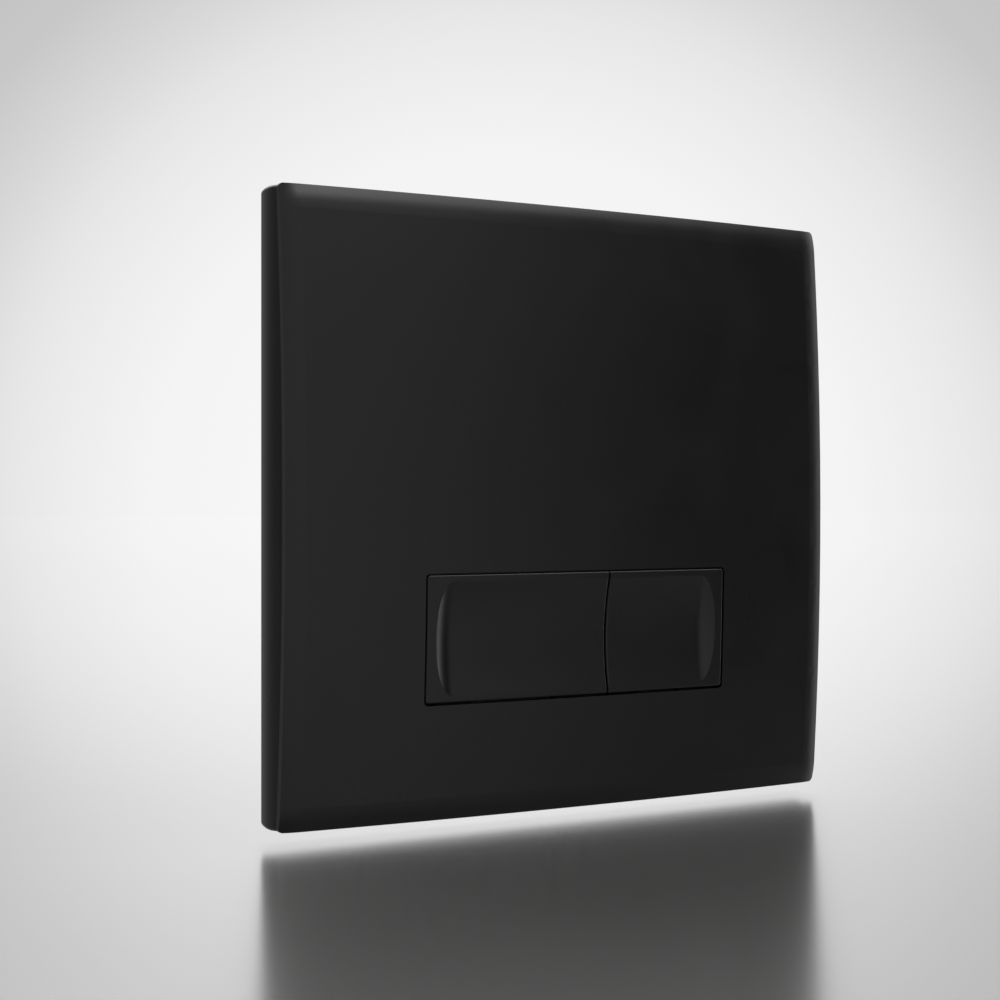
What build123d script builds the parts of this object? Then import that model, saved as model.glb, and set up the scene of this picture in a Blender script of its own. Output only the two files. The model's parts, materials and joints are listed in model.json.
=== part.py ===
from build123d import *
from math import asin, degrees, radians, sin, cos, sqrt
import os

# Flush button plate: X right seen from the front, Y into the wall, Z up, millimetres.
# The origin is the middle of the plate on the wall's surface, so the front faces -Y.

os.makedirs("parts", exist_ok=True)

# Plate outline and crown
plate_width = 176.0
plate_height = 160.0
corner_radius = 1.3
edge_depth = 10.3  # wall to the crown's corners, less a side roll's drop
crown_across = 3.3  # rise of the crown from the left and right edges to the middle
crown_down = 3.1  # rise of the crown from the top and bottom edges to the middle
roll_drop = 0.8  # how far the top and bottom rolls fall below the crown
roll_radius = 22.0  # top and bottom rolls
side_roll_drop = 1.2  # how far the side rolls fall below the crown
side_roll_ease = 2.0  # side rolls are tighter by this, so that they turn round the top and bottom ones
cover_wall = 2.4

# Side band
rim_wall = 3.4
rim_bulge_radius = 20.0
rim_widest = 4.8  # height of the band's widest line above the wall
rim_rear_round = 0.5

# Window and buttons
window_width = 98.3
window_height = 33.8
window_drop = 33.6  # window centre below the plate's centre
window_corner = 1.2
window_edge_round = 0.5
button_gap = 0.4
button_foot_gap = 0.6
button_split = 8.4  # line where the two buttons meet, right of centre
button_wall = 4.4
button_edge_round = 0.5
split_edge_round = 0.5
lip_height = 2.0  # lip that hides the gap above each button
lip_clearance = 0.4  # lip behind the cover

# Dish shared by the two buttons
dish_side_margin = 3.0
dish_edge_margin = 2.3
dish_depth = 1.6
dish_end_radius = 9.0

# Hinge
hinge_rise = 5.2  # hinge axis above the window's top edge
hinge_rod_radius = 1.25
lug_fit = 0.02
arm_fit = 0.05
eye_radius = 2.8
eye_clearance = 0.6  # between the button arms' eyes and the inside of the cover
arm_width = 3.0
large_arm_left = 8.5  # large button's arms in from its two sides
large_arm_right = 9.0
small_arm_left = 6.5  # small button's arms in from its two sides
small_arm_right = 8.5
arm_root = 0.8  # arm's foot in front of its eye, inside the button's wall
arm_shoulder = 1.0  # arm's shoulder below the button's top edge
arm_reach = 10.0  # length of an arm's foot down the back of its button
lug_width = 2.4
lug_left = 3.4  # outer lugs in from the buttons' outer sides
lug_right = 2.4
clip_thickness = 0.8
clip_radius = 2.6
clip_slot = 2.0
rod_end = 1.2  # rod past its clips
hinge_rod_chamfer = 0.3

# Push rods
lever = 26.0  # hinge axis down to the push rods
push_boss_radius = 4.0
push_boss_flat = 0.4
push_tip_depth = 6.5  # wall to the tip of the button's boss
push_clearance = 0.25
cap_radius = 6.0
cap_length = 4.25
cap_floor = 1.25
cap_chamfer = 0.4
rod_radius = 3.0
rod_reach = 55.0  # rod's far end behind the wall's surface
rod_chamfer = 0.5
cap_fit = 0.03
foot_radius = 4.0
foot_length = 8.0
foot_floor = 3.0
guide_fit = 0.05
guide_wall = 1.55
guide_length = 13.0
guide_flange_radius = 7.0
guide_flange = 1.2
guide_barb = 0.4
guide_slit = 1.0
guide_hole_fit = 0.05

# Mounting frame
frame_width = 132.0
frame_height = 116.0
frame_corner = 4.0
side_bar = 14.0
end_bar = 12.0
frame_front = 4.0  # frame's front face in front of the wall's surface
frame_back = 6.0  # frame's back face behind the wall's surface
web_thickness = 3.0
web_height = 16.0
hole_wall = 2.5  # least wall round each of the frame's holes
pocket_clearance = 0.4  # round the guides' flanges

# Fixings
stud_pitch = 118.0
stud_neck_radius = 2.5
stud_neck_end = 11.5  # stud's front end in front of the wall's surface
stud_hole_fit = 0.2
collar_radius = 6.0
collar_length = 2.0
stud_radius = 3.0
stud_reach = 42.0
stud_chamfer = 0.5
washer_radius = 6.0
washer_thickness = 0.8
nut_radius = 5.5
nut_height = 5.2
nut_flute_radius = 1.6
nut_fit = 0.02
flute_count = 6

# Cover posts and their grommets
post_rise = 52.0
post_radius = 3.6
pin_radius = 2.0
pin_length = 5.0
grommet_radius = 3.4
grommet_length = 6.0
grommet_fit = 0.02

# Springs and their screws
leaf_width = 7.0
leaf_thickness = 0.5
leaf_corner = 1.75
leaf_depth = 9.0  # wall to the leaf's front face
leaf_screw_rise = 18.0  # hinge axis up to the spring screws
leaf_end = 4.0  # leaf past its screw
seat_drop = 8.5  # hinge axis down to the middle of the button's spring seat
seat_width = 6.0
seat_height = 3.0
seat_clearance = 0.15

# Small screws
screw_radius = 1.25
screw_fit = 0.02
screw_length = 5.0
screw_head_radius = 2.6
screw_head = 1.2
screw_head_chamfer = 0.5
screw_boss_radius = 3.2

# Rim tabs
tab_size = 9.0
tab_thickness = 2.2
tab_recess = 1.4  # tab's back face in front of the wall's surface

# Rest pads
pad_length = 10.0
large_pad_inset = 10.0  # pads' middles in from the sides of the large button
small_pad_inset = 8.0  # pads' middles in from the sides of the small button
pad_thickness = 0.8
pad_clearance = 0.2
pad_reach = 4.0  # pad tab below its button
pad_tab_wall = 1.8
pad_tab_foot = 5.0  # pad tab up the back of its button

# Stiffening ribs inside the cover
rib_width = 1.6
rib_height = 3.0
rib_offset = 9.0  # upright ribs outside the cover's posts

# Positions worked out from the sizes above
turn_radius = (plate_width / 2) ** 2 / (2 * crown_across) + crown_across / 2
bow_radius = (plate_height / 2) ** 2 / (2 * crown_down) + crown_down / 2
front_depth = edge_depth + side_roll_drop + crown_across + crown_down
turn_y = turn_radius - front_depth
roll_width = sqrt(2 * roll_radius * roll_drop - roll_drop**2)
roll_turn = 2 * degrees(asin(roll_width / roll_radius))
side_radius = roll_radius - side_roll_ease
side_over = side_radius - sqrt(2 * side_radius * side_roll_drop - side_roll_drop**2)
block_x = plate_width / 2 + 2 * roll_radius
block_z = plate_height / 2 + 2 * roll_radius
turn_half = degrees(asin(block_x / turn_radius))
window_top = -window_drop + window_height / 2
window_bottom = -window_drop - window_height / 2
button_top = window_top - button_gap
button_bottom = window_bottom + button_foot_gap
large_left = -window_width / 2 + button_gap
large_right = button_split - button_gap / 2
small_left = button_split + button_gap / 2
small_right = window_width / 2 - button_gap


def front_y(x, z):
    """Y of the crowned front at a point of the plate."""
    radius = turn_radius - bow_radius + sqrt(bow_radius**2 - z**2)
    return turn_y - sqrt(radius**2 - x**2)


large_arms = (large_left + large_arm_left, large_right - large_arm_right)
small_arms = (small_left + small_arm_left, small_right - small_arm_right)
large_push = (large_left + large_right) / 2
small_push = (small_left + small_right) / 2
lug_lines = (large_left + lug_left, button_split, small_right - lug_right)
hinge_z = window_top + hinge_rise
hinge_y = front_y(small_right, hinge_z) + cover_wall + eye_clearance + eye_radius
push_z = hinge_z - lever
cap_front = -push_tip_depth + push_clearance
leaf_z = hinge_z + leaf_screw_rise
seat_z = hinge_z - seat_drop
stud_x = stud_pitch / 2
web_front = frame_back - web_thickness
guide_radius = rod_radius + guide_fit + guide_wall
rim_inside_x = plate_width / 2 - rim_wall
rim_inside_z = plate_height / 2 - rim_wall
rim_screw_x = rim_inside_x - tab_size / 2
rim_screw_z = rim_inside_z - tab_size / 2
corners = [(x, z) for x in (-1, 1) for z in (-1, 1)]


def behind_crown(setback):
    """Everything behind the crowned front, set back by a wall's thickness."""
    turned = radians(turn_half)
    radial = (-sin(turned), -cos(turned), 0)
    start = Plane(origin=(0, turn_y, 0), x_dir=radial, z_dir=(-cos(turned), sin(turned), 0))
    arc_radius = bow_radius - setback
    end_radius = turn_radius - setback - arc_radius + sqrt(arc_radius**2 - block_z**2)
    with BuildPart() as block:
        with BuildSketch(start):
            with BuildLine():
                bow = ThreePointArc((end_radius, -block_z), (turn_radius - setback, 0), (end_radius, block_z))
                back = turn_radius - 4 * front_depth
                Polyline(bow @ 1, (back, block_z), (back, -block_z), bow @ 0)
            make_face()
        revolve(axis=Axis((0, turn_y, 0), (0, 0, 1)), revolution_arc=2 * turn_half)
    return block.part


crown = behind_crown(0)
cover_inside = behind_crown(cover_wall)
half_wall = behind_crown(cover_wall / 2)

# The bosses, lugs, posts and ribs behind the cover, rooted in half its wall
with BuildPart() as cover_back:
    for line in lug_lines:
        with BuildSketch(Plane.YZ.offset(line)):
            with Locations((hinge_y, hinge_z)):
                Circle(eye_radius)
                Rectangle(2 * front_depth, 2 * eye_radius, align=(Align.MAX, Align.CENTER))
                Circle(hinge_rod_radius + lug_fit, mode=Mode.SUBTRACT)
        extrude(amount=lug_width / 2, both=True)
    with BuildSketch(Plane.XZ.offset(leaf_depth)):
        with Locations((large_push, leaf_z), (small_push, leaf_z)):
            Circle(screw_boss_radius)
    extrude(amount=front_depth)
    with BuildSketch(Plane.XZ.offset(tab_recess + tab_thickness)):
        with Locations([(x * rim_screw_x, z * rim_screw_z) for x, z in corners]):
            Circle(screw_boss_radius)
    extrude(amount=front_depth)
    with BuildSketch(Plane.XZ.offset(frame_front)):
        with Locations([(x * stud_x, z * post_rise) for x, z in corners]):
            Circle(post_radius)
    extrude(amount=front_depth)
    with BuildSketch(Plane.XZ.offset(frame_front)):
        with Locations([(x * stud_x, z * post_rise) for x, z in corners]):
            Circle(pin_radius)
    extrude(amount=-pin_length)
    add(half_wall, mode=Mode.INTERSECT)

with BuildPart() as cover_ribs:
    rib_x = stud_x + rib_offset
    with BuildSketch(Plane.XZ):
        with Locations((-rib_x, 0), (rib_x, 0)):
            Rectangle(rib_width, 2 * (rim_inside_z - tab_size))
        with Locations((0, post_rise), (0, -post_rise - rib_offset), (0, leaf_z)):
            Rectangle(2 * rib_x, rib_width)
    extrude(amount=2 * front_depth)
    add(half_wall, mode=Mode.INTERSECT)
    add(behind_crown(cover_wall + rib_height), mode=Mode.SUBTRACT)

# Crowned cover: the top and bottom rolls are turned with the crown, the side rolls run over them,
# and all four are cut square at the outline
with BuildPart() as front_cover:
    turned = radians(turn_half)
    radial = (-sin(turned), -cos(turned), 0)
    with BuildSketch(Plane(origin=(0, turn_y, 0), x_dir=radial, z_dir=(-cos(turned), sin(turned), 0))):
        bow_z = plate_height / 2 - roll_width
        bow_x = turn_radius - bow_radius + sqrt(bow_radius**2 - bow_z**2)
        with BuildLine():
            bow = ThreePointArc((bow_x, -bow_z), (turn_radius, 0), (bow_x, bow_z))
            upper = JernArc(bow @ 1, bow % 1, roll_radius, roll_turn)
            lower = JernArc(bow @ 0, (bow % 0) * -1, roll_radius, -roll_turn)
            back = turn_radius - 4 * front_depth
            Polyline(upper @ 1, (back, (upper @ 1).Y), (back, (lower @ 1).Y), lower @ 1)
        make_face()
    revolve(axis=Axis((0, turn_y, 0), (0, 0, 1)), revolution_arc=2 * turn_half)
    with BuildSketch(Plane.XZ.offset(-side_radius)):
        Rectangle(plate_width + 2 * side_over, 2 * plate_height)
    extrude(amount=2 * front_depth + side_radius, mode=Mode.INTERSECT)
    sides = front_cover.faces().filter_by(Axis.X).edges()
    fillet([e for e in sides if e.geom_type != GeomType.LINE], side_radius)
    with BuildSketch(Plane.XZ):
        RectangleRounded(plate_width, plate_height, corner_radius)
    extrude(amount=2 * front_depth, mode=Mode.INTERSECT)
    add(cover_inside, mode=Mode.SUBTRACT)
    with BuildSketch(Plane.XZ):
        with Locations((0, -window_drop)):
            RectangleRounded(window_width, window_height, window_corner)
    extrude(amount=2 * front_depth, mode=Mode.SUBTRACT)
    crown_face = front_cover.faces().sort_by(SortBy.AREA)[-1]
    fillet(crown_face.inner_wires()[0].edges(), window_edge_round)
    add(cover_back.part)
    add(cover_ribs.part)
    with BuildSketch(Plane.XZ.offset(leaf_depth)):
        with Locations((large_push, leaf_z), (small_push, leaf_z)):
            Circle(screw_radius + screw_fit)
    extrude(amount=screw_length, mode=Mode.SUBTRACT)
    with BuildSketch(Plane.XZ.offset(tab_recess + tab_thickness)):
        with Locations([(x * rim_screw_x, z * rim_screw_z) for x, z in corners]):
            Circle(screw_radius + screw_fit)
    extrude(amount=screw_length - tab_thickness, mode=Mode.SUBTRACT)
front_cover.part.label = "front_cover"
export_step(front_cover.part, "parts/front_cover.step")

# Side band with softly bulging walls, from the wall up to the cover
with BuildPart() as outer_rim:
    rim_front = front_depth - rim_widest
    rear_in = rim_bulge_radius - sqrt(rim_bulge_radius**2 - rim_widest**2)
    front_in = rim_bulge_radius - sqrt(rim_bulge_radius**2 - rim_front**2)
    with BuildSketch(Plane.XY):
        half = plate_width / 2
        with BuildLine():
            right = ThreePointArc((half - rear_in, 0), (half, -rim_widest), (half - front_in, -front_depth))
            left = ThreePointArc((front_in - half, -front_depth), (-half, -rim_widest), (rear_in - half, 0))
            Line(right @ 1, left @ 0)
            Line(left @ 1, right @ 0)
        make_face()
    extrude(amount=plate_height, both=True)
    with BuildSketch(Plane.YZ):
        half = plate_height / 2
        with BuildLine():
            top = ThreePointArc((0, half - rear_in), (-rim_widest, half), (-front_depth, half - front_in))
            base = ThreePointArc((-front_depth, front_in - half), (-rim_widest, -half), (0, rear_in - half))
            Line(top @ 1, base @ 0)
            Line(base @ 1, top @ 0)
        make_face()
    extrude(amount=plate_width, both=True, mode=Mode.INTERSECT)
    fillet(outer_rim.edges().filter_by(lambda e: abs((e % 0.5).Y) > 0.8), corner_radius)
    fillet(outer_rim.faces().sort_by(Axis.Y)[-1].edges(), rim_rear_round)
    with BuildSketch(Plane.XZ):
        Rectangle(2 * rim_inside_x, 2 * rim_inside_z)
    extrude(amount=2 * front_depth, mode=Mode.SUBTRACT)
    add(cover_inside, mode=Mode.INTERSECT)
    with BuildSketch(Plane.XZ.offset(tab_recess)):
        with Locations([(x * rim_screw_x, z * rim_screw_z) for x, z in corners]):
            Rectangle(tab_size, tab_size)
    extrude(amount=tab_thickness)
    with BuildSketch(Plane.XZ):
        with Locations([(x * rim_screw_x, z * rim_screw_z) for x, z in corners]):
            Circle(screw_radius + screw_fit)
    extrude(amount=tab_recess + tab_thickness, mode=Mode.SUBTRACT)
outer_rim.part.label = "outer_rim"
export_step(outer_rim.part, "parts/outer_rim.step")

# Spindle that cuts the dish: square to the crown at the window, its floor follows the crown across
# and sweeps up at both ends
with BuildPart() as dish:
    dish_top = window_top - dish_edge_margin
    dish_base = window_bottom + dish_edge_margin
    lean = front_y(0, dish_base) - front_y(0, dish_top)
    chord = sqrt((dish_top - dish_base) ** 2 + lean**2)
    dish_radius = (chord**2 / 4 + dish_depth**2) / (2 * dish_depth)
    axis_reach = (dish_radius - dish_depth) / chord
    axis_y = (front_y(0, dish_base) + front_y(0, dish_top)) / 2 - axis_reach * (dish_top - dish_base)
    axis_z = (dish_top + dish_base) / 2 - axis_reach * lean
    floor_y = axis_y + dish_radius
    end_x = window_width / 2 - dish_side_margin
    end_climb = sqrt(2 * dish_end_radius * dish_depth - dish_depth**2)
    wall_x = end_x + dish_end_radius - end_climb
    wall_y = floor_y + front_y(wall_x, -window_drop) - front_y(0, -window_drop)
    with BuildSketch(Plane.XY.offset(axis_z)) as profile:
        with BuildLine():
            Polyline((wall_x, wall_y), (wall_x, axis_y), (-wall_x, axis_y), (-wall_x, wall_y))
            ThreePointArc((-wall_x, wall_y), (0, floor_y), (wall_x, wall_y))
        make_face()
        fillet(profile.vertices().sort_by(Axis.Y)[-2:], dish_end_radius)
    revolve(axis=Axis((0, axis_y, axis_z), (1, 0, 0)))


def flush_button(low, high, split_side, arms, push, tabs):
    """A button between two X lines, with its hinge arms, push boss, spring seat and pad tabs."""
    with BuildPart() as tab_block:
        with BuildSketch(Plane.XZ):
            with Locations([(x, button_bottom - pad_reach) for x in tabs]):
                Rectangle(pad_length, pad_reach + pad_tab_foot, align=(Align.CENTER, Align.MIN))
        extrude(amount=2 * front_depth)
        pad_back = cover_wall + pad_clearance + pad_thickness
        add(behind_crown(pad_back), mode=Mode.INTERSECT)
        add(behind_crown(pad_back + pad_tab_wall), mode=Mode.SUBTRACT)
    with BuildPart() as lip:
        with BuildSketch(Plane.XZ):
            with Locations(((low + high) / 2, button_top)):
                Rectangle(high - low, 2 * lip_height)
        extrude(amount=2 * front_depth)
        add(behind_crown(cover_wall + lip_clearance), mode=Mode.INTERSECT)
        add(behind_crown(button_wall), mode=Mode.SUBTRACT)
    with BuildPart() as button:
        with BuildSketch(Plane.XZ):
            with Locations(((low + high) / 2, (button_top + button_bottom) / 2)):
                Rectangle(high - low, button_top - button_bottom)
        extrude(amount=2 * front_depth)
        upright = button.edges().filter_by(Axis.Y).sort_by(lambda e: abs(e.center().X - split_side))
        fillet(upright[-2:], window_corner - button_gap)
        add(crown, mode=Mode.INTERSECT)
        add(behind_crown(button_wall), mode=Mode.SUBTRACT)
        add(tab_block.part)
        add(lip.part)
        face = button.faces().sort_by(Axis.Y)[0]
        rim = face.edges().sort_by(Axis.X)
        fillet(rim[:-1] if split_side == high else rim[1:], button_edge_round)
        add(dish.part, mode=Mode.SUBTRACT)
        side = button.faces().filter_by(Plane.YZ).sort_by(lambda f: abs(f.center().X - split_side))[0]
        fillet(side.edges().filter_by(GeomType.CIRCLE)[0], split_edge_round)
        for line in arms:
            with BuildSketch(Plane.YZ.offset(line)):
                with Locations((hinge_y, hinge_z)):
                    Circle(eye_radius)
                foot = button_top - arm_reach
                root = hinge_y - eye_radius - arm_root
                with BuildLine():
                    Polyline(
                        (hinge_y - eye_radius, hinge_z),
                        (hinge_y + eye_radius, hinge_z),
                        (hinge_y, foot),
                        (root, foot),
                        (root, button_top - arm_shoulder),
                        (hinge_y - eye_radius, button_top - arm_shoulder),
                        close=True,
                    )
                make_face()
                with Locations((hinge_y, hinge_z)):
                    Circle(hinge_rod_radius + arm_fit, mode=Mode.SUBTRACT)
            extrude(amount=arm_width / 2, both=True)
        with BuildSketch(Plane.XZ.offset(push_tip_depth)):
            with Locations((push, push_z)):
                Circle(push_boss_radius)
        extrude(amount=-front_y(push, push_z) - push_tip_depth - button_wall / 2 - dish_depth / 2)
        tip = button.faces().filter_by(Plane.XZ).sort_by(Axis.Y)[-1]
        fillet(tip.edges(), push_boss_radius - push_boss_flat)
        with BuildSketch(Plane.XZ.offset(leaf_depth + seat_clearance)):
            with Locations((push, seat_z)):
                Rectangle(seat_width, seat_height)
        extrude(amount=-front_y(push, seat_z) - leaf_depth - button_wall / 2 - dish_depth / 2)
    return button.part


large_tabs = (large_left + large_pad_inset, large_right - large_pad_inset)
small_tabs = (small_left + small_pad_inset, small_right - small_pad_inset)

with BuildPart() as large_button:
    add(flush_button(large_left, large_right, large_right, large_arms, large_push, large_tabs))
large_button.part.label = "large_button"
export_step(large_button.part, "parts/large_button.step")

with BuildPart() as small_button:
    add(flush_button(small_left, small_right, small_left, small_arms, small_push, small_tabs))
small_button.part.label = "small_button"
export_step(small_button.part, "parts/small_button.step")


def rest_pads(tabs):
    """Rubber pads on a button's tabs, a little short of the inside of the cover."""
    with BuildPart() as pads:
        with BuildSketch(Plane.XZ):
            with Locations([(x, button_bottom - pad_reach) for x in tabs]):
                Rectangle(pad_length, pad_reach - button_foot_gap, align=(Align.CENTER, Align.MIN))
        extrude(amount=2 * front_depth)
        add(behind_crown(cover_wall + pad_clearance), mode=Mode.INTERSECT)
        add(behind_crown(cover_wall + pad_clearance + pad_thickness), mode=Mode.SUBTRACT)
    return pads.part


with BuildPart() as large_button_pads:
    add(rest_pads(large_tabs))
large_button_pads.part.label = "large_button_pads"
export_step(large_button_pads.part, "parts/large_button_pads.step")

with BuildPart() as small_button_pads:
    add(rest_pads(small_tabs))
small_button_pads.part.label = "small_button_pads"
export_step(small_button_pads.part, "parts/small_button_pads.step")

# Hinge rod through the cover's lugs and the buttons' arms
clip_left = lug_lines[0] - lug_width / 2 - clip_thickness
clip_right = lug_lines[-1] + lug_width / 2
rod_left = clip_left - rod_end
rod_right = clip_right + clip_thickness + rod_end
with BuildPart() as hinge_rod:
    with BuildSketch(Plane.YZ.offset(rod_left)):
        with Locations((hinge_y, hinge_z)):
            Circle(hinge_rod_radius)
    extrude(amount=rod_right - rod_left)
    chamfer(hinge_rod.edges(), hinge_rod_chamfer)
hinge_rod.part.label = "hinge_rod"
export_step(hinge_rod.part, "parts/hinge_rod.step")

with BuildPart() as hinge_rod_clips:
    for start in (clip_left, clip_right):
        with BuildSketch(Plane.YZ.offset(start)):
            with Locations((hinge_y, hinge_z)):
                Circle(clip_radius)
                Circle(hinge_rod_radius + lug_fit, mode=Mode.SUBTRACT)
                Rectangle(clip_slot, 2 * clip_radius, align=(Align.CENTER, Align.MIN), mode=Mode.SUBTRACT)
        extrude(amount=clip_thickness)
hinge_rod_clips.part.label = "hinge_rod_clips"
export_step(hinge_rod_clips.part, "parts/hinge_rod_clips.step")


def leaf_spring(push):
    """Flat leaf from its screw boss down to the button's spring seat."""
    top = leaf_z + leaf_end
    base = seat_z - seat_height / 2
    with BuildPart() as leaf:
        with BuildSketch(Plane.XZ.offset(leaf_depth)):
            with Locations((push, (top + base) / 2)):
                RectangleRounded(leaf_width, top - base, leaf_corner)
            with Locations((push, leaf_z)):
                Circle(screw_radius + screw_fit, mode=Mode.SUBTRACT)
        extrude(amount=-leaf_thickness)
    return leaf.part


with BuildPart() as large_button_spring:
    add(leaf_spring(large_push))
large_button_spring.part.label = "large_button_spring"
export_step(large_button_spring.part, "parts/large_button_spring.step")

with BuildPart() as small_button_spring:
    add(leaf_spring(small_push))
small_button_spring.part.label = "small_button_spring"
export_step(small_button_spring.part, "parts/small_button_spring.step")


def pan_screws(places, seat_y):
    """Pan head screws whose heads bear on a face at seat_y, pointing to the front."""
    with BuildPart() as screws:
        with BuildSketch(Plane.XZ.offset(-seat_y)):
            with Locations(places):
                Circle(screw_head_radius)
        extrude(amount=-screw_head)
        heads = screws.edges().filter_by(GeomType.CIRCLE).group_by(Axis.Y)[-1]
        chamfer(heads, screw_head_chamfer)
        with BuildSketch(Plane.XZ.offset(-seat_y)):
            with Locations(places):
                Circle(screw_radius)
        extrude(amount=screw_length)
    return screws.part


with BuildPart() as spring_screws:
    add(pan_screws([(large_push, leaf_z), (small_push, leaf_z)], leaf_thickness - leaf_depth))
spring_screws.part.label = "spring_screws"
export_step(spring_screws.part, "parts/spring_screws.step")

with BuildPart() as rim_screws:
    add(pan_screws([(x * rim_screw_x, z * rim_screw_z) for x, z in corners], -tab_recess))
rim_screws.part.label = "rim_screws"
export_step(rim_screws.part, "parts/rim_screws.step")

# Frame in the wall opening, with a web across its lower end for the rod guides
with BuildPart() as mounting_frame:
    opening_z = frame_height / 2 - end_bar
    stud_hole = stud_neck_radius + stud_hole_fit
    post_hole = grommet_radius + grommet_fit
    guide_hole = guide_radius + guide_hole_fit
    stud_places = [(-stud_x, 0), (stud_x, 0)]
    post_places = [(x * stud_x, z * post_rise) for x, z in corners]
    guide_places = [(large_push, push_z), (small_push, push_z)]
    with BuildSketch(Plane.XZ.offset(frame_front)):
        RectangleRounded(frame_width, frame_height, frame_corner)
        RectangleRounded(frame_width - 2 * side_bar, 2 * opening_z, frame_corner, mode=Mode.SUBTRACT)
        with Locations(stud_places):
            Circle(stud_hole + hole_wall)
        with Locations(post_places):
            Circle(post_hole + hole_wall)
    extrude(amount=-frame_front - frame_back)
    with BuildSketch(Plane.XZ.offset(-web_front)):
        with Locations((0, -opening_z - end_bar / 2)):
            Rectangle(frame_width - side_bar, web_height + end_bar / 2, align=(Align.CENTER, Align.MIN))
        with Locations(guide_places):
            Circle(guide_hole + hole_wall)
    extrude(amount=-web_thickness)
    with BuildSketch(Plane.XZ.offset(frame_front)):
        with Locations(guide_places):
            Circle(guide_flange_radius + pocket_clearance)
    extrude(amount=-frame_front - web_front, mode=Mode.SUBTRACT)
    with BuildSketch(Plane.XZ.offset(frame_front)):
        with Locations(guide_places):
            Circle(guide_hole)
        with Locations(stud_places):
            Circle(stud_hole)
        with Locations(post_places):
            Circle(post_hole)
    extrude(amount=-frame_front - frame_back, mode=Mode.SUBTRACT)
mounting_frame.part.label = "mounting_frame"
export_step(mounting_frame.part, "parts/mounting_frame.step")

with BuildPart() as cover_grommets:
    with BuildSketch(Plane.XZ.offset(frame_front)):
        with Locations([(x * stud_x, z * post_rise) for x, z in corners]):
            Circle(grommet_radius)
            Circle(pin_radius + grommet_fit, mode=Mode.SUBTRACT)
    extrude(amount=-grommet_length)
cover_grommets.part.label = "cover_grommets"
export_step(cover_grommets.part, "parts/cover_grommets.step")


def rod_guide(push):
    """Flanged bush snapped into the frame's web from the front."""
    with BuildPart() as guide:
        with BuildSketch(Plane.XZ.offset(guide_flange - web_front)):
            with Locations((push, push_z)):
                Circle(guide_flange_radius)
        extrude(amount=-guide_flange)
        with BuildSketch(Plane.XZ.offset(-web_front)):
            with Locations((push, push_z)):
                Circle(guide_radius)
        extrude(amount=-guide_length)
        with BuildSketch(Plane.XZ.offset(-frame_back)):
            with Locations((push, push_z)):
                Circle(guide_radius + guide_barb)
        extrude(amount=-guide_flange)
        with BuildSketch(Plane.XZ.offset(-frame_back)):
            with Locations((push, push_z)):
                Rectangle(guide_slit, 3 * guide_radius)
        extrude(amount=-guide_length, mode=Mode.SUBTRACT)
        with BuildSketch(Plane.XZ.offset(guide_flange - web_front)):
            with Locations((push, push_z)):
                Circle(rod_radius + guide_fit)
        extrude(amount=-guide_length - guide_flange, mode=Mode.SUBTRACT)
    return guide.part


with BuildPart() as large_rod_guide:
    add(rod_guide(large_push))
large_rod_guide.part.label = "large_rod_guide"
export_step(large_rod_guide.part, "parts/large_rod_guide.step")

with BuildPart() as small_rod_guide:
    add(rod_guide(small_push))
small_rod_guide.part.label = "small_rod_guide"
export_step(small_rod_guide.part, "parts/small_rod_guide.step")


def push_rod(push):
    """Plain rod from the floor of its cap to the floor of its foot."""
    start = -cap_front - cap_floor
    with BuildPart() as rod:
        with BuildSketch(Plane.XZ.offset(start)):
            with Locations((push, push_z)):
                Circle(rod_radius)
        extrude(amount=-start - rod_reach)
        chamfer(rod.edges().filter_by(GeomType.CIRCLE), rod_chamfer)
    return rod.part


with BuildPart() as large_push_rod:
    add(push_rod(large_push))
large_push_rod.part.label = "large_push_rod"
export_step(large_push_rod.part, "parts/large_push_rod.step")

with BuildPart() as small_push_rod:
    add(push_rod(small_push))
small_push_rod.part.label = "small_push_rod"
export_step(small_push_rod.part, "parts/small_push_rod.step")


def rod_cap(push):
    """Blind cap on the rod's front end."""
    with BuildPart() as cap:
        with BuildSketch(Plane.XZ.offset(-cap_front)):
            with Locations((push, push_z)):
                Circle(cap_radius)
        extrude(amount=-cap_length)
        chamfer(cap.edges().filter_by(GeomType.CIRCLE), cap_chamfer)
        with BuildSketch(Plane.XZ.offset(-cap_front - cap_floor)):
            with Locations((push, push_z)):
                Circle(rod_radius + cap_fit)
        extrude(amount=-cap_length, mode=Mode.SUBTRACT)
    return cap.part


with BuildPart() as large_rod_cap:
    add(rod_cap(large_push))
large_rod_cap.part.label = "large_rod_cap"
export_step(large_rod_cap.part, "parts/large_rod_cap.step")

with BuildPart() as small_rod_cap:
    add(rod_cap(small_push))
small_rod_cap.part.label = "small_rod_cap"
export_step(small_rod_cap.part, "parts/small_rod_cap.step")


def rod_foot(push):
    """Blind rubber foot on the rod's far end."""
    end = rod_reach + foot_floor
    with BuildPart() as foot:
        with BuildSketch(Plane.XZ.offset(-end)):
            with Locations((push, push_z)):
                Circle(foot_radius)
        extrude(amount=foot_length)
        with BuildSketch(Plane.XZ.offset(-rod_reach)):
            with Locations((push, push_z)):
                Circle(rod_radius + cap_fit)
        extrude(amount=foot_length, mode=Mode.SUBTRACT)
    return foot.part


with BuildPart() as large_rod_foot:
    add(rod_foot(large_push))
large_rod_foot.part.label = "large_rod_foot"
export_step(large_rod_foot.part, "parts/large_rod_foot.step")

with BuildPart() as small_rod_foot:
    add(rod_foot(small_push))
small_rod_foot.part.label = "small_rod_foot"
export_step(small_rod_foot.part, "parts/small_rod_foot.step")

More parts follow.
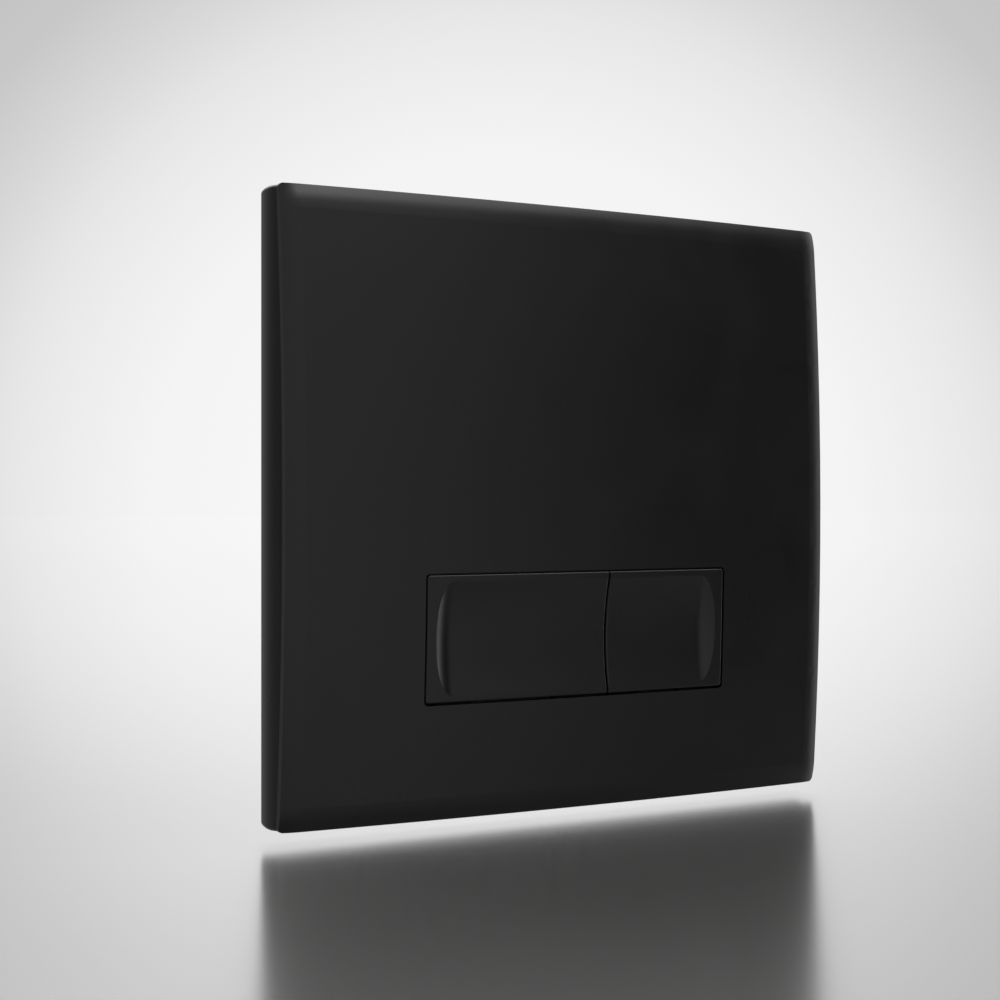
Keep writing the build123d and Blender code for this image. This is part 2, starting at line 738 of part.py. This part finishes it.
# Stepped studs: a neck through the frame, a collar behind it and a longer shank into the housing
with BuildPart() as fixing_studs:
    with BuildSketch(Plane.XZ.offset(stud_neck_end)):
        with Locations((-stud_x, 0), (stud_x, 0)):
            Circle(stud_neck_radius)
    extrude(amount=-stud_neck_end - frame_back)
    with BuildSketch(Plane.XZ.offset(-frame_back)):
        with Locations((-stud_x, 0), (stud_x, 0)):
            Circle(collar_radius)
    extrude(amount=-collar_length)
    with BuildSketch(Plane.XZ.offset(-frame_back - collar_length)):
        with Locations((-stud_x, 0), (stud_x, 0)):
            Circle(stud_radius)
    extrude(amount=frame_back + collar_length - stud_reach)
    ends = fixing_studs.edges().filter_by(GeomType.CIRCLE).group_by(Axis.Y)
    chamfer(ends[0] + ends[-1], stud_chamfer)
fixing_studs.part.label = "fixing_studs"
export_step(fixing_studs.part, "parts/fixing_studs.step")

with BuildPart() as fixing_washers:
    with BuildSketch(Plane.XZ.offset(frame_front)):
        with Locations((-stud_x, 0), (stud_x, 0)):
            Circle(washer_radius)
            Circle(stud_neck_radius + stud_hole_fit, mode=Mode.SUBTRACT)
    extrude(amount=washer_thickness)
fixing_washers.part.label = "fixing_washers"
export_step(fixing_washers.part, "parts/fixing_washers.step")

with BuildPart() as fixing_nuts:
    with BuildSketch(Plane.XZ.offset(frame_front + washer_thickness)):
        with Locations((-stud_x, 0), (stud_x, 0)):
            Circle(nut_radius)
            Circle(stud_neck_radius + nut_fit, mode=Mode.SUBTRACT)
            with PolarLocations(nut_radius + nut_flute_radius / 2, flute_count):
                Circle(nut_flute_radius, mode=Mode.SUBTRACT)
    extrude(amount=nut_height)
fixing_nuts.part.label = "fixing_nuts"
export_step(fixing_nuts.part, "parts/fixing_nuts.step")
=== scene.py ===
import json
import math

import bpy
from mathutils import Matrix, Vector


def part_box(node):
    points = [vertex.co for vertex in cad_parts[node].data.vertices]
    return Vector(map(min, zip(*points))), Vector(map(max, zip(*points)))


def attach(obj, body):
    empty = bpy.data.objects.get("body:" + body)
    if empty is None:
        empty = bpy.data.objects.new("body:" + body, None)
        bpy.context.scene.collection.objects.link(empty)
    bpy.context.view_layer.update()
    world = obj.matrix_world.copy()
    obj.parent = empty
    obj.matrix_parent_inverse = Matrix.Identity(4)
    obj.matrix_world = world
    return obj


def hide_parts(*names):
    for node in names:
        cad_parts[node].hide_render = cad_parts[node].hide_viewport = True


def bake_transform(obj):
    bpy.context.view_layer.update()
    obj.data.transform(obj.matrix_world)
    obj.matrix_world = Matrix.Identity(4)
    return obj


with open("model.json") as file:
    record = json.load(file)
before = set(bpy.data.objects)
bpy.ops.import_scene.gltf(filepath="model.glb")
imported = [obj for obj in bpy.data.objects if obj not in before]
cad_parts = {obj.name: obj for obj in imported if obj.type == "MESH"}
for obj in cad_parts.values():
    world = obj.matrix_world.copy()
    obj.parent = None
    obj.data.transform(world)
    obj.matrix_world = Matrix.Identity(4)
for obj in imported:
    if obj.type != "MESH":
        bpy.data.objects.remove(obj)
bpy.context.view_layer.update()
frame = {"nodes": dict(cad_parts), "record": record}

MM = 0.001

# Photograph's view
CAMERA_PLACE = (-0.33911, -0.47532, 0.00195)
CAMERA_TURN = math.radians(34.275)
CAMERA_LENS = 77.1

# Stage: the floor lies just under the plate
FLOOR_HEIGHT = -0.0834
FLOOR_HALF = 10.0

# Places behind the plate in millimetres: (x, z) of each axis, and y of the faces that the screw heads sit on
LARGE_ROD = (-20.275, -37.5)
SMALL_ROD = (28.675, -37.5)
STUDS = [(-59.0, 0.0), (59.0, 0.0)]
RIM_SCREWS = [(-80.1, -72.1), (-80.1, 72.1), (80.1, -72.1), (80.1, 72.1)]
RIM_SCREW_SEAT = -1.4
SPRING_SCREWS = [(-20.275, 6.5), (28.675, 6.5)]
SPRING_SCREW_SEAT = -8.5
# Cross recess in millimetres: length, depth and width of each of its two slots, and their middle above the seat
RECESS_SLOT = (2.9, 1.9, 0.75)
RECESS_HEIGHT = 1.1
# Leaf springs in millimetres: radii of their corners and screw holes, and the distance between the lines across them
LEAF_CORNER = 1.75
LEAF_HOLE = 1.5
LEAF_STEP = 1.0

# Edges that turn more than this stay crisp
CRISP_EDGE = math.radians(35)


def linear(code):
    """Linear RGBA of an sRGB hex colour."""
    channels = [int(code[i:i + 2], 16) / 255 for i in (1, 3, 5)]
    return tuple(c / 12.92 if c <= 0.04045 else ((c + 0.055) / 1.055) ** 2.4 for c in channels) + (1.0,)


def add_node(tree, kind, settings=None, inputs=None):
    """Adds a node, sets its properties, and sets or links its inputs."""
    node = tree.nodes.new(kind)
    for name, value in (settings or {}).items():
        setattr(node, name, value)
    for name, value in (inputs or {}).items():
        if isinstance(value, bpy.types.NodeSocket):
            tree.links.new(value, node.inputs[name])
        else:
            node.inputs[name].default_value = value
    return node


def new_material(name):
    """An empty material with its node tree and principled shader."""
    material = bpy.data.materials.new(name)
    material.use_nodes = True
    return material, material.node_tree, material.node_tree.nodes["Principled BSDF"]


def moulded_plastic(name, pale, dark, roughness, grain, depth, edge=0.0, glow=0.0):
    """Moulded plastic: flow marks drift between two near colours and change the sheen a little, and the mould's
    spark-eroded skin breaks up the highlight. Edge softens sharp corners as a mould does, glow lets light in."""
    material, tree, shader = new_material(name)
    place = add_node(tree, "ShaderNodeTexCoord").outputs["Object"]
    flow = add_node(tree, "ShaderNodeTexNoise", inputs={
        "Vector": place, "Scale": 1 / (28 * MM), "Detail": 3.0, "Distortion": 0.6})
    tint = add_node(tree, "ShaderNodeMix", {"data_type": "RGBA"}, {
        "Factor": flow.outputs["Fac"], 6: linear(dark), 7: linear(pale)})
    sheen = add_node(tree, "ShaderNodeMapRange", inputs={
        "Value": flow.outputs["Fac"], "From Min": 0.3, "From Max": 0.7,
        "To Min": roughness - 0.025, "To Max": roughness + 0.025})
    # Real spark grain is about 0.05 mm, drawn coarser so that it shows
    spark = add_node(tree, "ShaderNodeTexNoise", inputs={"Vector": place, "Scale": 1 / grain, "Detail": 3.0})
    relief = add_node(tree, "ShaderNodeBump", inputs={
        "Height": spark.outputs["Fac"], "Distance": depth, "Strength": 0.5})
    if edge:
        corner = add_node(tree, "ShaderNodeBevel", {"samples": 6}, {"Radius": edge})
        tree.links.new(corner.outputs["Normal"], relief.inputs["Normal"])
    shader.inputs["IOR"].default_value = 1.53
    shader.inputs["Subsurface Weight"].default_value = glow
    shader.inputs["Subsurface Radius"].default_value = (1.0, 1.0, 0.9)
    shader.inputs["Subsurface Scale"].default_value = 1.2 * MM
    tree.links.new(tint.outputs[2], shader.inputs["Base Color"])
    tree.links.new(sheen.outputs["Result"], shader.inputs["Roughness"])
    tree.links.new(relief.outputs["Normal"], shader.inputs["Normal"])
    return material


def worked_steel(name, pale, dark, roughness, streak, depth):
    """Bare or plated steel: streak gives the size in metres of one working mark along X, Y and Z."""
    material, tree, shader = new_material(name)
    place = add_node(tree, "ShaderNodeTexCoord").outputs["Object"]
    along = add_node(tree, "ShaderNodeMapping", inputs={"Vector": place, "Scale": tuple(1 / size for size in streak)})
    marks = add_node(tree, "ShaderNodeTexNoise", inputs={
        "Vector": along.outputs["Vector"], "Scale": 1.0, "Detail": 4.0})
    spread = add_node(tree, "ShaderNodeMapRange", inputs={
        "Value": marks.outputs["Fac"], "From Min": 0.3, "From Max": 0.7})
    tint = add_node(tree, "ShaderNodeMix", {"data_type": "RGBA"}, {
        "Factor": spread.outputs["Result"], 6: linear(dark), 7: linear(pale)})
    sheen = add_node(tree, "ShaderNodeMapRange", inputs={
        "Value": marks.outputs["Fac"], "From Min": 0.3, "From Max": 0.7,
        "To Min": roughness + 0.07, "To Max": roughness - 0.05})
    relief = add_node(tree, "ShaderNodeBump", inputs={
        "Height": marks.outputs["Fac"], "Distance": depth, "Strength": 0.4})
    shader.inputs["Metallic"].default_value = 1.0
    tree.links.new(tint.outputs[2], shader.inputs["Base Color"])
    tree.links.new(sheen.outputs["Result"], shader.inputs["Roughness"])
    tree.links.new(relief.outputs["Normal"], shader.inputs["Normal"])
    return material


# Satin ABS from a spark-eroded mould: deep black with soft, wide highlights
black_abs = moulded_plastic("Satin moulded black ABS", "#0a0a09", "#080808", 0.29, 0.35 * MM, 0.002 * MM)
# Regrind ABS: pale and dark flow marks, rounded mould edges
grey_abs = moulded_plastic("Moulded grey ABS", "#8f9193", "#7e8083", 0.5, 0.5 * MM, 0.008 * MM, edge=0.4 * MM)
# Acetal is waxy: light goes in a little way, and the sheen is soft
white_acetal = moulded_plastic(
    "Moulded white acetal", "#dededa", "#d2d2cd", 0.36, 0.6 * MM, 0.004 * MM, edge=0.25 * MM, glow=0.2)
blue_acetal = moulded_plastic(
    "Moulded blue acetal", "#30629b", "#28568b", 0.36, 0.6 * MM, 0.004 * MM, edge=0.2 * MM, glow=0.1)
# Nylon takes up water and yellows: warm, slightly see-through white
natural_nylon = moulded_plastic(
    "Moulded natural nylon", "#d9d3c0", "#cdc5ae", 0.4, 0.6 * MM, 0.005 * MM, edge=0.2 * MM, glow=0.25)
# Rubber: dull, with a grey bloom
black_rubber = moulded_plastic("Moulded black rubber", "#272726", "#191919", 0.72, 0.3 * MM, 0.01 * MM, edge=0.2 * MM)
# Ground rod: fine rings round the rod, drawn coarser so that they show
ground_steel = worked_steel(
    "Ground steel rod", "#c9cbce", "#a7aaae", 0.25, (0.12 * MM, 4 * MM, 4 * MM), 0.002 * MM)
# Cold-rolled spring strip: long streaks down the leaf and a faint straw temper
spring_steel = worked_steel(
    "Rolled spring steel", "#b3afa7", "#8b8780", 0.32, (0.15 * MM, 0.15 * MM, 14 * MM), 0.002 * MM)
# Zinc plate: bright, with cloudy blue and straw patches
zinc_steel = worked_steel(
    "Zinc plated steel", "#d4d1c4", "#b4c0ca", 0.28, (1.4 * MM, 1.4 * MM, 1.4 * MM), 0.003 * MM)

finishes = {
    "cover_abs": black_abs, "rim_abs": black_abs, "button_abs": black_abs, "frame_abs": grey_abs,
    "rod_steel": ground_steel, "spring_steel": spring_steel, "zinc_steel": zinc_steel, "black_rubber": black_rubber,
    "guide_acetal": white_acetal, "rod_acetal": white_acetal, "cap_acetal": blue_acetal,
    "stud_nylon": natural_nylon,
}
for row in frame["record"]["subparts"]:
    node = frame["nodes"][row["node"]]
    node.data.materials.clear()
    node.data.materials.append(finishes[row["material_slot"]])


def turned(profile, axis_place, steps=48):
    """A piece turned about a line along Y: the profile's points are (radius, y) in millimetres, extruded one by
    one and spun."""
    x, z = axis_place
    points = [Vector((x + radius, y, z)) * MM for radius, y in profile]
    bpy.ops.object.select_all(action="DESELECT")
    bpy.ops.mesh.primitive_plane_add(size=0.1 * MM, location=points[0])
    bpy.ops.object.mode_set(mode="EDIT")
    bpy.ops.mesh.select_mode(type="VERT")
    bpy.ops.mesh.select_all(action="SELECT")
    bpy.ops.mesh.merge(type="CENTER")
    for start, end in zip(points, points[1:]):
        bpy.ops.mesh.extrude_vertices_move(TRANSFORM_OT_translate={"value": end - start})
    bpy.ops.mesh.select_all(action="SELECT")
    bpy.ops.mesh.spin(steps=steps, angle=2 * math.pi, center=(x * MM, 0, z * MM), axis=(0, 1, 0))
    bpy.ops.mesh.select_all(action="SELECT")
    bpy.ops.mesh.remove_doubles(threshold=0.001 * MM)
    bpy.ops.mesh.normals_make_consistent(inside=False)
    bpy.ops.object.mode_set(mode="OBJECT")
    bpy.ops.object.transform_apply(location=True, rotation=True, scale=True)
    bpy.ops.object.shade_smooth_by_angle(angle=CRISP_EDGE)
    return bpy.context.object


def thread_ridge(axis_place, start, end, root, crest, pitch):
    """A screw thread's ridge along Y: a three-sided profile wound up the axis, its ends closed."""
    x, z = axis_place
    bpy.ops.object.select_all(action="DESELECT")
    bpy.ops.mesh.primitive_circle_add(vertices=3, radius=1.0, location=(x * MM, start * MM, z * MM))
    ridge = bpy.context.object
    # The ridge's foot is sunk into the bar and leaves a narrow root between the turns
    foot, half_width = root - 0.1, 0.42 * pitch
    corners = [(crest, 0.0), (foot, half_width), (foot, -half_width)]
    for vertex, (radius, y) in zip(ridge.data.vertices, corners):
        vertex.co = Vector((radius, y, 0)) * MM
    winding = ridge.modifiers.new("winding", "SCREW")
    winding.axis = "Y"
    winding.angle = 2 * math.pi
    winding.screw_offset = pitch * MM
    winding.iterations = round((end - start) / pitch)
    winding.steps = winding.render_steps = 20
    bpy.ops.object.modifier_apply(modifier="winding")
    bpy.ops.object.mode_set(mode="EDIT")
    bpy.ops.mesh.select_all(action="SELECT")
    bpy.ops.mesh.fill_holes(sides=3)
    bpy.ops.mesh.select_all(action="SELECT")
    bpy.ops.mesh.normals_make_consistent(inside=False)
    bpy.ops.object.mode_set(mode="OBJECT")
    bpy.ops.object.transform_apply(location=True, rotation=True, scale=True)
    bpy.ops.object.shade_smooth_by_angle(angle=CRISP_EDGE)
    return ridge


def joined(*parts):
    """The parts as one object."""
    bpy.ops.object.select_all(action="DESELECT")
    for part in parts:
        part.select_set(True)
    bpy.context.view_layer.objects.active = parts[0]
    bpy.ops.object.join()
    return bpy.context.object


def cut(piece, cutter):
    """Takes the cutter's shape out of the piece, removes the cutter and leaves the piece selected."""
    bpy.context.view_layer.objects.active = piece
    bite = piece.modifiers.new("bite", "BOOLEAN")
    bite.operation = "DIFFERENCE"
    bite.object = cutter
    bpy.ops.object.modifier_apply(modifier="bite")
    bpy.ops.object.select_all(action="DESELECT")
    cutter.select_set(True)
    bpy.ops.object.delete()
    piece.select_set(True)
    bpy.context.view_layer.objects.active = piece


def finish_piece(piece, name, slot_name):
    """Names a finished piece and gives it its finish."""
    piece.name = piece.data.name = name
    piece.data.materials.clear()
    piece.data.materials.append(finishes[slot_name])


def fit(piece, name, slot_name, body, *nodes):
    """Finishes a piece and lets it ride on its body in its nodes' place."""
    finish_piece(piece, name, slot_name)
    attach(piece, body)
    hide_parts(*nodes)


def cross_head_screws(places, seat, turns):
    """Pan head screws with cross recesses, their heads on a face at seat and their points towards the front."""
    screws = []
    for (x, z), turn in zip(places, turns):
        screw = turned([
            (0.0, seat + 1.2), (0.9, seat + 1.17), (1.6, seat + 1.03), (2.15, seat + 0.78), (2.48, seat + 0.45),
            (2.6, seat + 0.15), (2.58, seat), (1.25, seat), (1.25, seat - 4.4), (0.7, seat - 5.0), (0.0, seat - 5.0),
        ], (x, z), 40)
        for quarter in (0, 1):
            bpy.ops.object.select_all(action="DESELECT")
            bpy.ops.mesh.primitive_cube_add(size=1.0, location=(x * MM, (seat + RECESS_HEIGHT) * MM, z * MM))
            cutter = bpy.context.object
            cutter.scale = Vector(RECESS_SLOT) * MM
            cutter.rotation_euler = (0, turn + quarter * math.pi / 2, 0)
            cut(screw, cutter)
        bpy.ops.object.shade_smooth_by_angle(angle=CRISP_EDGE)
        screws.append(screw)
    return joined(*screws)


def ribbed_foot(axis_place):
    """Rubber foot with two grip grooves and a rounded tip, its blind bore over the rod's end."""
    return turned([
        (0.0, 58.0), (2.2, 57.95), (3.2, 57.6), (3.8, 56.9), (4.0, 56.0), (4.0, 55.0), (3.55, 54.8), (3.55, 54.2),
        (4.0, 54.0), (4.0, 53.2), (3.55, 53.0), (3.55, 52.4), (4.0, 52.2), (4.0, 50.5), (3.8, 50.1), (3.5, 50.0),
        (3.03, 50.0), (3.03, 55.0), (0.0, 55.0),
    ], axis_place)


def adjusting_cap(axis_place):
    """Blind cap with finger grips sunk all round its side."""
    x, z = axis_place
    bpy.ops.object.select_all(action="DESELECT")
    bpy.ops.mesh.primitive_cylinder_add(
        vertices=40, radius=6.0 * MM, depth=4.25 * MM, location=(x * MM, -4.125 * MM, z * MM),
        rotation=(math.pi / 2, 0, 0))
    cap = bpy.context.object
    bpy.ops.object.transform_apply(location=True, rotation=True, scale=True)
    bpy.ops.object.mode_set(mode="EDIT")
    bpy.ops.mesh.select_mode(type="FACE")
    bpy.ops.mesh.select_all(action="DESELECT")
    bpy.ops.object.mode_set(mode="OBJECT")
    # Margins on both ends
    for face in cap.data.polygons:
        face.select = abs(face.normal.y) > 0.9
    bpy.ops.object.mode_set(mode="EDIT")
    bpy.ops.mesh.inset(thickness=0.5 * MM, depth=0.0)
    bpy.ops.object.mode_set(mode="OBJECT")
    # Grips: every other side face is sunk
    sides = [face for face in cap.data.polygons if abs(face.normal.y) < 0.1]
    sides.sort(key=lambda face: math.atan2(face.center.z - z * MM, face.center.x - x * MM))
    for face in cap.data.polygons:
        face.select = False
    for face in sides[::2]:
        face.select = True
    bpy.ops.object.mode_set(mode="EDIT")
    bpy.ops.mesh.inset(thickness=0.12 * MM, depth=-0.3 * MM, use_individual=True)
    bpy.ops.object.mode_set(mode="OBJECT")
    # Blind bore over the rod's end
    for face in cap.data.polygons:
        face.select = face.normal.y > 0.9 and len(face.vertices) > 8
    bpy.ops.object.mode_set(mode="EDIT")
    bpy.ops.mesh.inset(thickness=2.47 * MM, depth=0.0)
    bpy.ops.mesh.extrude_region_move(TRANSFORM_OT_translate={"value": (0, -3.0 * MM, 0)})
    bpy.ops.object.mode_set(mode="OBJECT")
    softened = cap.modifiers.new("softened", "BEVEL")
    softened.width = 0.12 * MM
    softened.segments = 2
    softened.limit_method = "ANGLE"
    softened.angle_limit = math.radians(40)
    bpy.ops.object.modifier_apply(modifier="softened")
    bpy.ops.object.shade_smooth_by_angle(angle=CRISP_EDGE)
    return cap


def adjusting_rod(axis_place):
    """Push rod: plain where it slides in its guide, threaded behind it for adjusting its foot."""
    bar = turned([
        (0.0, -5.0), (2.5, -5.0), (3.0, -4.5), (3.0, 20.2), (2.55, 20.6), (2.55, 49.0), (3.0, 49.5), (3.0, 54.5),
        (2.5, 55.0), (0.0, 55.0),
    ], axis_place, 40)
    return joined(bar, thread_ridge(axis_place, 21.0, 48.5, 2.55, 3.0, 2.5))


def fixing_stud(axis_place):
    """Stud: a plain neck for the nut, a two-step collar and a threaded shank."""
    bar = turned([
        (0.0, -11.5), (2.0, -11.5), (2.5, -11.0), (2.5, 6.0), (5.7, 6.0), (6.0, 6.3), (6.0, 7.2), (5.7, 7.5),
        (4.4, 7.5), (4.1, 7.7), (4.0, 8.0), (3.0, 8.0), (3.0, 9.2), (2.5, 9.6), (2.5, 41.4), (2.2, 42.0), (0.0, 42.0),
    ], axis_place)
    return joined(bar, thread_ridge(axis_place, 10.2, 40.9, 2.5, 3.0, 1.5))


def leaf_spring(node, screw_place):
    """Stamped leaf with round corners and a hole for its screw, divided across so that it can bend."""
    low, high = (Vector(corner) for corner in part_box(node))
    bpy.ops.object.select_all(action="DESELECT")
    bpy.ops.mesh.primitive_cube_add(size=1.0, location=(low + high) / 2)
    leaf = bpy.context.object
    leaf.scale = high - low
    bpy.ops.object.transform_apply(location=True, rotation=True, scale=True)
    bpy.ops.object.mode_set(mode="EDIT")
    bpy.ops.mesh.select_mode(type="EDGE")
    bpy.ops.mesh.select_all(action="DESELECT")
    bpy.ops.object.mode_set(mode="OBJECT")
    for edge in leaf.data.edges:
        start, end = (leaf.data.vertices[i].co for i in edge.vertices)
        edge.select = abs(start.y - end.y) > 0.1 * MM
    bpy.ops.object.mode_set(mode="EDIT")
    bpy.ops.mesh.bevel(offset=LEAF_CORNER * MM, segments=8, affect="EDGES")
    bpy.ops.object.mode_set(mode="OBJECT")
    x, z = screw_place
    bpy.ops.object.select_all(action="DESELECT")
    bpy.ops.mesh.primitive_cylinder_add(
        vertices=32, radius=LEAF_HOLE * MM, depth=4 * MM, location=(x * MM, low.y, z * MM),
        rotation=(math.pi / 2, 0, 0))
    cut(leaf, bpy.context.object)
    bpy.ops.object.mode_set(mode="EDIT")
    for step in range(1, round((high.z - low.z) / (LEAF_STEP * MM))):
        bpy.ops.mesh.select_all(action="SELECT")
        bpy.ops.mesh.bisect(plane_co=(x * MM, low.y, low.z + step * LEAF_STEP * MM), plane_no=(0, 0, 1))
    bpy.ops.object.mode_set(mode="OBJECT")
    bpy.ops.object.shade_smooth_by_angle(angle=CRISP_EDGE)
    return leaf


for side, place in (("large", LARGE_ROD), ("small", SMALL_ROD)):
    body = f"{side}_push_rod"
    fit(adjusting_rod(place), f"{side}_adjusting_rod", "rod_acetal", body, f"{side}_push_rod")
    fit(adjusting_cap(place), f"{side}_adjusting_cap", "cap_acetal", body, f"{side}_rod_cap")
    fit(ribbed_foot(place), f"{side}_ribbed_foot", "black_rubber", body, f"{side}_rod_foot")
fit(joined(*[fixing_stud(place) for place in STUDS]), "threaded_studs", "stud_nylon", "plate", "fixing_studs")
# Each screw is driven home to its own turn
rim_screws = cross_head_screws(RIM_SCREWS, RIM_SCREW_SEAT, (0.3, 0.9, 1.3, 0.1))
fit(rim_screws, "rim_cross_screws", "zinc_steel", "plate", "rim_screws")
spring_screws = cross_head_screws(SPRING_SCREWS, SPRING_SCREW_SEAT, (0.5, 1.1))
fit(spring_screws, "spring_cross_screws", "zinc_steel", "plate", "spring_screws")
for side, (x, z) in zip(("large", "small"), SPRING_SCREWS):
    node = f"{side}_button_spring"
    leaf = leaf_spring(node, (x, z))
    finish_piece(leaf, f"{side}_leaf_spring", "spring_steel")
    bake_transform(leaf)
    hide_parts(node)

# Floor: polished, so that it mirrors the plate and the backdrop at the camera's low angle
bpy.ops.object.select_all(action="DESELECT")
bpy.ops.mesh.primitive_plane_add(size=2 * FLOOR_HALF, location=(0, 0, FLOOR_HEIGHT))
floor = bpy.context.object
floor.name = "floor"
polished, tree, shader = new_material("Polished pale floor")
facing = add_node(tree, "ShaderNodeLayerWeight", inputs={"Blend": 0.5}).outputs["Facing"]
# The share of mirror grows from straight down, at 0, to along the floor, at 1
mirror = add_node(tree, "ShaderNodeValToRGB", inputs={"Fac": facing})
stops = mirror.color_ramp.elements
stops[0].position, stops[0].color = 0.5, (0.04, 0.04, 0.04, 1)
stops[1].position, stops[1].color = 0.98, (1, 1, 1, 1)
for angle, share in ((0.75, 0.76), (0.82, 0.82), (0.9, 0.92)):
    stops.new(angle).color = (share, share, share, 1)
# At a low angle the polish hides the floor's fine scratches
scratches = add_node(tree, "ShaderNodeMapRange", inputs={
    "Value": facing, "From Min": 0.86, "From Max": 0.98, "To Min": 0.2, "To Max": 0.02})
diffuse = add_node(tree, "ShaderNodeBsdfDiffuse", inputs={"Color": linear("#c4c4c2")})
polish = add_node(tree, "ShaderNodeBsdfGlossy", {"distribution": "MULTI_GGX"}, {
    "Color": linear("#ffffff"), "Roughness": scratches.outputs["Result"]})
surface = add_node(tree, "ShaderNodeMixShader", inputs={
    0: mirror.outputs["Color"], 1: diffuse.outputs["BSDF"], 2: polish.outputs["BSDF"]})
tree.nodes.remove(shader)
tree.links.new(surface.outputs["Shader"], tree.nodes["Material Output"].inputs["Surface"])
floor.data.materials.append(polished)

# World: a white backdrop lit in the middle behind the plate, a bright wall on its right, and greyer walls in front
# and on the left, with dim corners between them. Every ray meets them, so metal shows them too. Each wall has the
# direction of its middle, and rows with the angle from there in degrees and the level at that angle.
BACKDROP_MIDDLE = (math.sin(CAMERA_TURN), math.cos(CAMERA_TURN), 0.0)
BACKDROP = [
    (0, 0.96), (9.3, 0.9), (11.6, 0.84), (13.1, 0.79), (14.6, 0.7), (17, 0.57), (25, 0.47), (34, 0.43), (50, 0.35),
    (63, 0.22), (74, 0.14), (90, 0.05), (97, 0.025), (108, 0.01), (180, 0.01),
]
FRONT_MIDDLE = (0.0, -0.966, 0.259)
FRONT_WALL = [(0, 0.5), (23, 0.5), (29, 0.43), (34, 0.29), (39, 0.14), (44, 0.05), (51, 0.0)]
LEFT_MIDDLE = (-0.97, 0.0, 0.242)
LEFT_WALL = [(0, 0.22), (24, 0.2), (38, 0.12), (50, 0.05), (62, 0.0)]
RIGHT_MIDDLE = (0.972, 0.07, 0.225)
RIGHT_WALL = [(0, 1.0), (14, 0.92), (20, 0.6), (27, 0.24), (36, 0.0)]
world = bpy.data.worlds.new("studio")
bpy.context.scene.world = world
world.use_nodes = True
tree = world.node_tree
tree.nodes.clear()
direction = add_node(tree, "ShaderNodeTexCoord").outputs["Generated"]


def lit_wall(tree, direction, middle, rows):
    """Level of a wall lit in its middle, in every direction."""
    facing = add_node(tree, "ShaderNodeVectorMath", {"operation": "DOT_PRODUCT"}, {0: direction, 1: middle})
    away = add_node(tree, "ShaderNodeMath", {"operation": "ARCCOSINE"}, {0: facing.outputs["Value"]})
    share = add_node(tree, "ShaderNodeMapRange", inputs={"Value": away.outputs["Value"], "From Max": math.pi})
    ramp = add_node(tree, "ShaderNodeValToRGB", inputs={"Fac": share.outputs["Result"]})
    stops = ramp.color_ramp.elements
    stops.remove(stops[1])
    for angle, level in rows:
        stop = stops[0] if angle == 0 else stops.new(angle / 180)
        stop.color = (level, level, level, 1)
    return ramp.outputs["Color"]


behind = lit_wall(tree, direction, BACKDROP_MIDDLE, BACKDROP)
in_front = lit_wall(tree, direction, FRONT_MIDDLE, FRONT_WALL)
on_left = lit_wall(tree, direction, LEFT_MIDDLE, LEFT_WALL)
on_right = lit_wall(tree, direction, RIGHT_MIDDLE, RIGHT_WALL)
ends = add_node(tree, "ShaderNodeMath", {"operation": "ADD"}, {0: behind, 1: in_front})
sides = add_node(tree, "ShaderNodeMath", {"operation": "ADD"}, {0: on_left, 1: on_right})
walls = add_node(tree, "ShaderNodeMath", {"operation": "ADD"}, {
    0: ends.outputs["Value"], 1: sides.outputs["Value"]})
glow = add_node(tree, "ShaderNodeBackground", inputs={"Color": walls.outputs["Value"], "Strength": 1.0})
add_node(tree, "ShaderNodeOutputWorld", inputs={"Surface": glow.outputs["Background"]})


def soft_box(name, place, width, height, radiance):
    """Area lamp at a place, facing the plate, with the radiance of its face."""
    lamp = bpy.data.lights.new(name, "AREA")
    lamp.shape = "RECTANGLE"
    lamp.size, lamp.size_y = width, height
    lamp.energy = radiance * math.pi * width * height
    holder = bpy.data.objects.new(name, lamp)
    bpy.context.scene.collection.objects.link(holder)
    holder.location = place
    holder.rotation_euler = (-Vector(place)).to_track_quat("-Z", "Y").to_euler()
    # No view shows the lamps themselves
    holder.visible_camera = False


soft_box("top", (0.46, -0.53, 0.7), 0.9, 0.28, 3.0)
soft_box("rear", (0.35, 1.1, 1.0), 1.4, 0.9, 1.6)

view = bpy.data.cameras.new("photo_view")
view.lens = CAMERA_LENS
view.sensor_width = 36.0
camera = bpy.data.objects.new("photo_view", view)
bpy.context.scene.collection.objects.link(camera)
camera.location = CAMERA_PLACE
camera.rotation_euler = (math.pi / 2, 0, -CAMERA_TURN)
bpy.context.scene.camera = camera
bpy.context.scene.view_settings.view_transform = "Standard"
